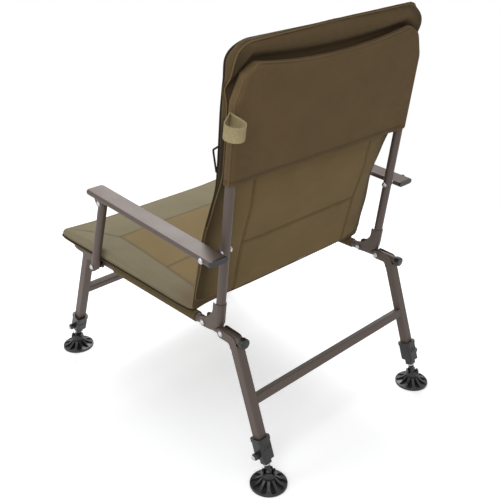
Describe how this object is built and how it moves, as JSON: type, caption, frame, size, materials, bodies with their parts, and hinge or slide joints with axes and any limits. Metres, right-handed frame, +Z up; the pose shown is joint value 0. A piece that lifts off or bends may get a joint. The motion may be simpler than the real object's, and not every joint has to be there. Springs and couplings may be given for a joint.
{
  "type": "folding fishing chair",
  "caption": "Folding fishing chair with a padded seat, a reclined high back with a head pocket, arms, and telescopic legs on swivelling mud feet.",
  "frame": {"origin": "on the floor under the middle of the chair", "axes": "+Z up, the sitter faces -Y, +X is the sitter's left"},
  "size_m": [0.6898, 0.8748, 0.9765],
  "materials": {
    "frame_paint": "satin brown-grey metallic paint",
    "bolt_zinc": "bright zinc",
    "black_plastic": "moulded, satin",
    "back_cloth": "woven, khaki brown",
    "seat_cloth": "woven, olive grey",
    "sling_cloth": "woven, brown",
    "webbing": "woven webbing, tan"
  },
  "bodies": {
    "seat_frame": {"seat_rail": "frame_paint", "rail_end_cap_left": "black_plastic", "rail_end_cap_right": "black_plastic", "seat_sling": "sling_cloth", "seat_cushion": "seat_cloth", "rear_leg_bolt_left": "bolt_zinc", "rear_leg_bolt_right": "bolt_zinc", "front_leg_bolt_left": "bolt_zinc", "front_leg_bolt_right": "bolt_zinc", "back_pivot_bolt_left": "bolt_zinc", "back_pivot_bolt_right": "bolt_zinc", "post_spacer_left": "black_plastic", "post_spacer_right": "black_plastic"},
    "back": {"back_frame_tube": "frame_paint", "back_bracket_left": "frame_paint", "back_bracket_right": "frame_paint", "head_pocket": "back_cloth", "back_cushion": "back_cloth", "webbing_loop": "webbing", "edge_loop": "black_plastic", "arm_pivot_bolt_left": "bolt_zinc", "arm_pivot_bolt_right": "bolt_zinc"},
    "arm_left_group": {"arm_left": "frame_paint", "arm_rear_cap_left": "black_plastic", "arm_bracket_left": "frame_paint", "post_top_bolt_left": "bolt_zinc"},
    "post_left_group": {"post_left": "frame_paint"},
    "arm_right_group": {"arm_right": "frame_paint", "arm_rear_cap_right": "black_plastic", "arm_bracket_right": "frame_paint", "post_top_bolt_right": "bolt_zinc"},
    "post_right_group": {"post_right": "frame_paint"},
    "rear_legs": {"rear_leg_left": "frame_paint", "rear_leg_right": "frame_paint", "rear_collar_left": "black_plastic", "rear_collar_right": "black_plastic", "rear_crossbar": "frame_paint"},
    "rear_extension_left": {"rear_inner_leg_left": "frame_paint"},
    "rear_ball_foot_left": {"rear_foot_left": "black_plastic"},
    "rear_pin_left": {"rear_pull_pin_left": "bolt_zinc", "rear_pull_knob_left": "black_plastic"},
    "rear_extension_right": {"rear_inner_leg_right": "frame_paint"},
    "rear_ball_foot_right": {"rear_foot_right": "black_plastic"},
    "rear_pin_right": {"rear_pull_pin_right": "bolt_zinc", "rear_pull_knob_right": "black_plastic"},
    "front_legs": {"front_leg_left": "frame_paint", "front_leg_right": "frame_paint", "front_collar_left": "black_plastic", "front_collar_right": "black_plastic", "front_crossbar": "frame_paint"},
    "front_extension_left": {"front_inner_leg_left": "frame_paint"},
    "front_ball_foot_left": {"front_foot_left": "black_plastic"},
    "front_pin_left": {"front_pull_pin_left": "bolt_zinc", "front_pull_knob_left": "black_plastic"},
    "front_extension_right": {"front_inner_leg_right": "frame_paint"},
    "front_ball_foot_right": {"front_foot_right": "black_plastic"},
    "front_pin_right": {"front_pull_pin_right": "bolt_zinc", "front_pull_knob_right": "black_plastic"}
  },
  "joints": [
    {"name": "back_fold", "type": "hinge", "parent": "seat_frame", "child": "back", "pos_m": [0, 0.19653, 0.34399], "axis": [1, 0, 0], "range_deg": [0, 85], "deforming": ["back_cushion"]},
    {"name": "arm_left_pivot", "type": "hinge", "parent": "back", "child": "arm_left_group", "pos_m": [0.31625, 0.26405, 0.53899], "axis": [1, 0, 0], "range_deg": [-85.5, 0.5]},
    {"name": "post_left_pivot", "type": "hinge", "parent": "seat_frame", "child": "post_left_group", "pos_m": [0.3045, -0.20151, 0.34448], "axis": [1, 0, 0], "range_deg": [-0.5, 85.5]},
    {"name": "arm_right_pivot", "type": "hinge", "parent": "back", "child": "arm_right_group", "pos_m": [-0.31625, 0.26405, 0.53899], "axis": [1, 0, 0], "range_deg": [-85.5, 0.5]},
    {"name": "post_right_pivot", "type": "hinge", "parent": "seat_frame", "child": "post_right_group", "pos_m": [-0.3045, -0.20151, 0.34448], "axis": [1, 0, 0], "range_deg": [-0.5, 85.5]},
    {"name": "rear_leg_fold", "type": "hinge", "parent": "seat_frame", "child": "rear_legs", "pos_m": [0, 0.25548, 0.33998], "axis": [-1, 0, 0], "range_deg": [0, 103]},
    {"name": "rear_extension_left_slide", "type": "slide", "parent": "rear_legs", "child": "rear_extension_left", "axis": [0, 0.3219, -0.9468], "range_m": [0, 0.05]},
    {"name": "rear_foot_left_tilt", "type": "hinge", "parent": "rear_extension_left", "child": "rear_ball_foot_left", "pos_m": [0.275, 0.39438, 0.034], "axis": [1, 0, 0], "range_deg": [-12, 12]},
    {"name": "rear_pin_left_pull", "type": "slide", "parent": "rear_legs", "child": "rear_pin_left", "axis": [1, 0, 0], "range_m": [0, 0.005], "stiffness_N_per_m": 600},
    {"name": "rear_extension_right_slide", "type": "slide", "parent": "rear_legs", "child": "rear_extension_right", "axis": [0, 0.3219, -0.9468], "range_m": [0, 0.05]},
    {"name": "rear_foot_right_tilt", "type": "hinge", "parent": "rear_extension_right", "child": "rear_ball_foot_right", "pos_m": [-0.275, 0.39438, 0.034], "axis": [1, 0, 0], "range_deg": [-12, 12]},
    {"name": "rear_pin_right_pull", "type": "slide", "parent": "rear_legs", "child": "rear_pin_right", "axis": [-1, 0, 0], "range_m": [0, 0.005], "stiffness_N_per_m": 600},
    {"name": "front_leg_fold", "type": "hinge", "parent": "seat_frame", "child": "front_legs", "pos_m": [0, -0.20151, 0.34448], "axis": [1, 0, 0], "range_deg": [0, 68]},
    {"name": "front_extension_left_slide", "type": "slide", "parent": "front_legs", "child": "front_extension_left", "axis": [0, -0.3535, -0.9354], "range_m": [0, 0.05]},
    {"name": "front_foot_left_tilt", "type": "hinge", "parent": "front_extension_left", "child": "front_ball_foot_left", "pos_m": [0.275, -0.3944, 0.034], "axis": [1, 0, 0], "range_deg": [-12, 12]},
    {"name": "front_pin_left_pull", "type": "slide", "parent": "front_legs", "child": "front_pin_left", "axis": [1, 0, 0], "range_m": [0, 0.005], "stiffness_N_per_m": 600},
    {"name": "front_extension_right_slide", "type": "slide", "parent": "front_legs", "child": "front_extension_right", "axis": [0, -0.3535, -0.9354], "range_m": [0, 0.05]},
    {"name": "front_foot_right_tilt", "type": "hinge", "parent": "front_extension_right", "child": "front_ball_foot_right", "pos_m": [-0.275, -0.3944, 0.034], "axis": [1, 0, 0], "range_deg": [-12, 12]},
    {"name": "front_pin_right_pull", "type": "slide", "parent": "front_legs", "child": "front_pin_right", "axis": [-1, 0, 0], "range_m": [0, 0.005], "stiffness_N_per_m": 600}
  ],
  "couplings": [
    {"joint": "arm_left_pivot", "follows": "back_fold", "ratio": -1},
    {"joint": "post_left_pivot", "follows": "back_fold", "ratio": 1},
    {"joint": "arm_right_pivot", "follows": "back_fold", "ratio": -1},
    {"joint": "post_right_pivot", "follows": "back_fold", "ratio": 1}
  ]
}
